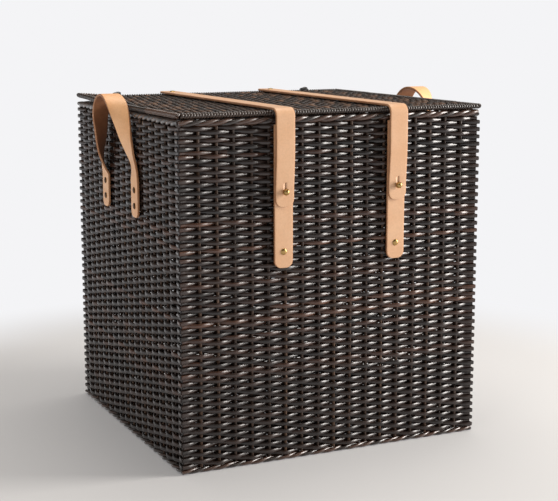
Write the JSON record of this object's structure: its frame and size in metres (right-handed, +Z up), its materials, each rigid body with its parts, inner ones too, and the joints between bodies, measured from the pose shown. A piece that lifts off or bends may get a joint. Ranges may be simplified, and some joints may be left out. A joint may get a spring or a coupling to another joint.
{
  "type": "wicker basket",
  "caption": "Square lidded wicker basket, woven over upright stakes, with leather straps that button the hinged lid shut and leather side handles.",
  "frame": {"origin": "middle of the base, on the surface that the basket stands on", "axes": "+Z up; the front with the closing straps faces -Y; +X to the right of someone facing the front"},
  "size_m": [0.512, 0.4484, 0.489],
  "materials": {
    "natural_stakes": "matte",
    "woven_cane": "satin",
    "border_rope": "satin",
    "bound_edge": "satin",
    "hinge_cane": "satin",
    "rattan_pole": "satin",
    "brass": "polished",
    "tan_leather": "satin"
  },
  "bodies": {
    "basket": {"base_panel": "woven_cane", "base_stakes": "natural_stakes", "base_rail_front": "rattan_pole", "base_rail_back": "rattan_pole", "base_rail_left": "rattan_pole", "base_rail_right": "rattan_pole", "bottom_border_front": "border_rope", "bottom_border_back": "border_rope", "bottom_border_left": "border_rope", "bottom_border_right": "border_rope", "wall_front": "woven_cane", "wall_back": "woven_cane", "wall_left": "woven_cane", "wall_right": "woven_cane", "stakes_front": "natural_stakes", "stakes_back": "natural_stakes", "stakes_left": "natural_stakes", "stakes_right": "natural_stakes", "corner_post_front_left": "rattan_pole", "corner_post_front_right": "rattan_pole", "corner_post_back_left": "rattan_pole", "corner_post_back_right": "rattan_pole", "top_rail_front": "rattan_pole", "top_rail_back": "rattan_pole", "top_rail_left": "rattan_pole", "top_rail_right": "rattan_pole", "top_border_front": "border_rope", "top_border_back": "border_rope", "top_border_left": "border_rope", "top_border_right": "border_rope", "hinge_loop_left": "hinge_cane", "hinge_loop_right": "hinge_cane", "lower_strap_left": "tan_leather", "lower_strap_right": "tan_leather", "ball_stud_left": "brass", "ball_stud_right": "brass", "strap_rivets": "brass", "strap_washers": "brass", "handle_ends_left": "tan_leather", "handle_ends_right": "tan_leather", "handle_rivets_left": "brass", "handle_rivets_right": "brass", "handle_washers": "brass"},
    "lid": {"lid_panel": "woven_cane", "lid_stakes": "natural_stakes", "lid_rod_front": "bound_edge", "lid_rod_back": "bound_edge", "lid_rod_left": "bound_edge", "lid_rod_right": "bound_edge", "lid_strap_left": "tan_leather", "lid_strap_right": "tan_leather", "lid_strap_rivets": "brass", "lid_strap_washers": "brass"},
    "left_tail": {"strap_tail_left": "tan_leather"},
    "right_tail": {"strap_tail_right": "tan_leather"},
    "left_handle": {"handle_loop_left": "tan_leather"},
    "right_handle": {"handle_loop_right": "tan_leather"}
  },
  "joints": [
    {"name": "lid_hinge", "type": "hinge", "parent": "basket", "child": "lid", "pos_m": [0, 0.212, 0.4715], "axis": [-1, 0, 0], "range_deg": [0, 100], "deforming": ["strap_tail_left", "strap_tail_right"]},
    {"name": "left_tail_bend", "type": "hinge", "parent": "lid", "child": "left_tail", "pos_m": [-0.08, -0.223, 0.4671], "axis": [-1, 0, 0], "range_deg": [0, 90]},
    {"name": "right_tail_bend", "type": "hinge", "parent": "lid", "child": "right_tail", "pos_m": [0.09, -0.223, 0.4671], "axis": [-1, 0, 0], "range_deg": [0, 90]},
    {"name": "left_handle_bend", "type": "hinge", "parent": "basket", "child": "left_handle", "pos_m": [-0.2286, 0.008, 0.37], "axis": [0, -1, 0], "range_deg": [0, 70]},
    {"name": "right_handle_bend", "type": "hinge", "parent": "basket", "child": "right_handle", "pos_m": [0.2286, -0.013, 0.37], "axis": [0, 1, 0], "range_deg": [0, 70]}
  ]
}
